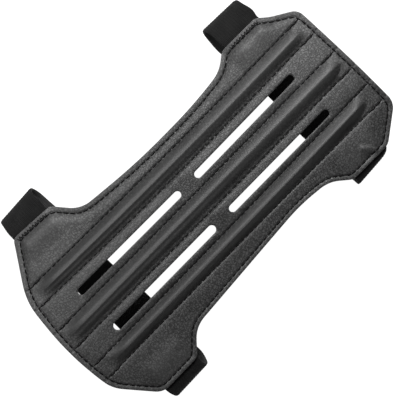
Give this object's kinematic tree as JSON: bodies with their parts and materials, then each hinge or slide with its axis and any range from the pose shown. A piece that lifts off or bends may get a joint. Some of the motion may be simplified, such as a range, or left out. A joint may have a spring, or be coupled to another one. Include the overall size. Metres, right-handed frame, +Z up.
{
  "type": "archery arm guard",
  "caption": "Forearm guard for archery: an arched black leather panel with raised lengthwise ribs, long vent slots and flared ears, closed round the arm by elastic strap loops.",
  "frame": {"origin": "on the surface that the guard lies on, under the middle of its bounding box", "axes": "+Z up, out of the ribbed face; +Y along the arm, towards the narrower flat end; +X across the arm, to the right as the face is seen with the flat end up"},
  "size_m": [0.1176, 0.1854, 0.0305],
  "materials": {
    "face_leather": "black grained synthetic leather, satin",
    "back_leather": "black smooth backing leather, matt",
    "elastic": "black woven elastic webbing, matt"
  },
  "bodies": {
    "root": {"front_panel": "face_leather", "back_panel": "back_leather", "upper_strap": "elastic", "lower_strap": "elastic"}
  },
  "joints": []
}
